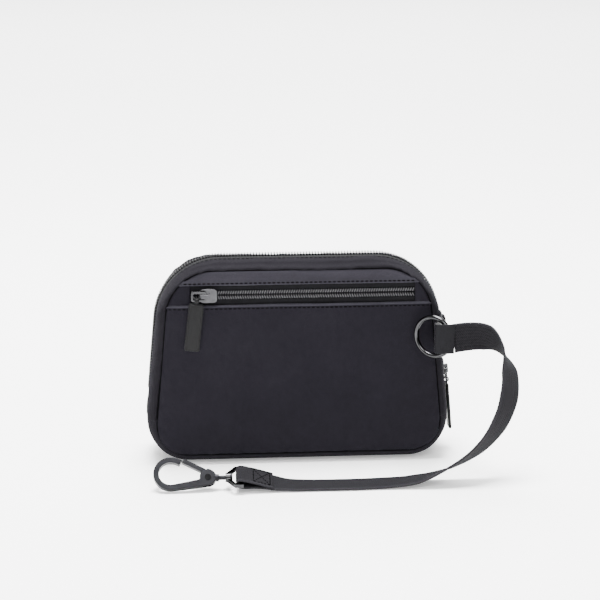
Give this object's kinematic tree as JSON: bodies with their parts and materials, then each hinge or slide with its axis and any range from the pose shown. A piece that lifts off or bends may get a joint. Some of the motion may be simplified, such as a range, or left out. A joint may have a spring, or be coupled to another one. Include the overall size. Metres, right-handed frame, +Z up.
{
  "type": "zippered pouch",
  "caption": "Small padded nylon pouch with a top zip, a front zip pocket, a side ring on a webbing tab, and a webbing wrist strap ending in a swivel clip.",
  "frame": {"origin": "middle of the pouch's flat underside, on the surface it stands on", "axes": "+X to the wearer's right as the pocket is seen, +Y from the pocket side to the back, +Z up"},
  "size_m": [0.2345, 0.1105, 0.133],
  "materials": {
    "panel_nylon": "smooth water-repellent nylon, satin",
    "gusset_nylon": "smooth padded nylon, satin",
    "zip_tape": "woven polyester tape",
    "zip_coil": "nylon coil",
    "lining": "plain woven lining",
    "webbing": "twill webbing",
    "gunmetal": "polished gunmetal plating",
    "hook_metal": "satin gunmetal plating",
    "pull_leather": "pressed leather"
  },
  "bodies": {
    "front_half": {"front_panel": "panel_nylon", "front_top_strip": "panel_nylon", "zip_end_patch_left": "panel_nylon", "zip_end_patch_right": "panel_nylon", "pocket_tape_upper": "zip_tape", "pocket_tape_lower": "zip_tape", "pocket_coil_upper": "zip_coil", "pocket_coil_lower": "zip_coil", "pocket_bag": "lining", "front_gusset": "gusset_nylon", "bottom_gusset": "gusset_nylon", "front_zip_tape": "zip_tape", "front_zip_coil": "zip_coil", "front_zip_stops": "gunmetal", "front_lining": "lining", "side_tab": "webbing", "tab_stitch_patch": "gusset_nylon", "strap": "webbing", "strap_end_loop": "webbing"},
    "rear_half": {"rear_panel": "panel_nylon", "rear_gusset": "gusset_nylon", "rear_zip_tape": "zip_tape", "rear_zip_coil": "zip_coil", "rear_zip_stops": "gunmetal", "rear_lining": "lining"},
    "pocket_slider": {"pocket_slider": "gunmetal"},
    "pocket_link": {"pocket_pull_link": "gunmetal"},
    "pocket_pull": {"pocket_pull_tab": "pull_leather"},
    "main_slider": {"main_slider": "gunmetal"},
    "main_link": {"main_pull_link": "gunmetal"},
    "main_pull": {"main_pull_tab": "pull_leather"},
    "ring": {"side_ring": "gunmetal"},
    "clip_eye": {"clip_eye": "gunmetal"},
    "clip_hook": {"clip_hook": "hook_metal", "clip_rivet": "gunmetal"},
    "clip_gate": {"clip_gate": "hook_metal"}
  },
  "joints": [
    {"name": "pouch_open", "type": "hinge", "parent": "front_half", "child": "rear_half", "pos_m": [0, 0.0255, 0.005], "axis": [-1, 0, 0], "range_deg": [0, 25]},
    {"name": "pocket_zip_travel", "type": "slide", "parent": "front_half", "child": "pocket_slider", "axis": [1, 0, 0], "range_m": [-0.004, 0.125]},
    {"name": "pocket_link_swing", "type": "hinge", "parent": "pocket_slider", "child": "pocket_link", "pos_m": [-0.0598, -0.02735, 0.11195], "axis": [0, 0, 1], "range_deg": [0, 88]},
    {"name": "pocket_pull_swing", "type": "hinge", "parent": "pocket_link", "child": "pocket_pull", "pos_m": [-0.06518, -0.02735, 0.10935], "axis": [-1, 0, 0], "range_deg": [0, 90]},
    {"name": "main_zip_travel", "type": "slide", "parent": "front_half", "child": "main_slider", "axis": [-0.0917, 0, 0.9958], "range_m": [-0.003, 0.028]},
    {"name": "main_link_swing", "type": "hinge", "parent": "main_slider", "child": "main_link", "pos_m": [0.09826, 0, 0.05426], "axis": [0, -1, 0], "range_deg": [0, 95]},
    {"name": "main_pull_swing", "type": "hinge", "parent": "main_link", "child": "main_pull", "pos_m": [0.09864, 0, 0.04667], "axis": [0, -1, 0], "range_deg": [0, 70]},
    {"name": "ring_turn", "type": "hinge", "parent": "front_half", "child": "ring", "pos_m": [0.0844, -0.037, 0.0854], "axis": [0.6157, 0.788, 0], "continuous": true},
    {"name": "clip_eye_swing", "type": "hinge", "parent": "front_half", "child": "clip_eye", "pos_m": [-0.03992, -0.074, 0.0074], "axis": [-0.0396, -0.9814, -0.1879], "range_deg": [-60, 20]},
    {"name": "clip_swivel", "type": "hinge", "parent": "clip_eye", "child": "clip_hook", "pos_m": [-0.06092, -0.074, 0.0074], "axis": [1, 0, 0], "continuous": true},
    {"name": "clip_gate_open", "type": "hinge", "parent": "clip_hook", "child": "clip_gate", "pos_m": [-0.06092, -0.074, 0.0074], "axis": [0, -0.766, 0.6428], "range_deg": [0, 22], "stiffness_Nm_per_rad": 0.02, "springref_deg": -17.19}
  ]
}
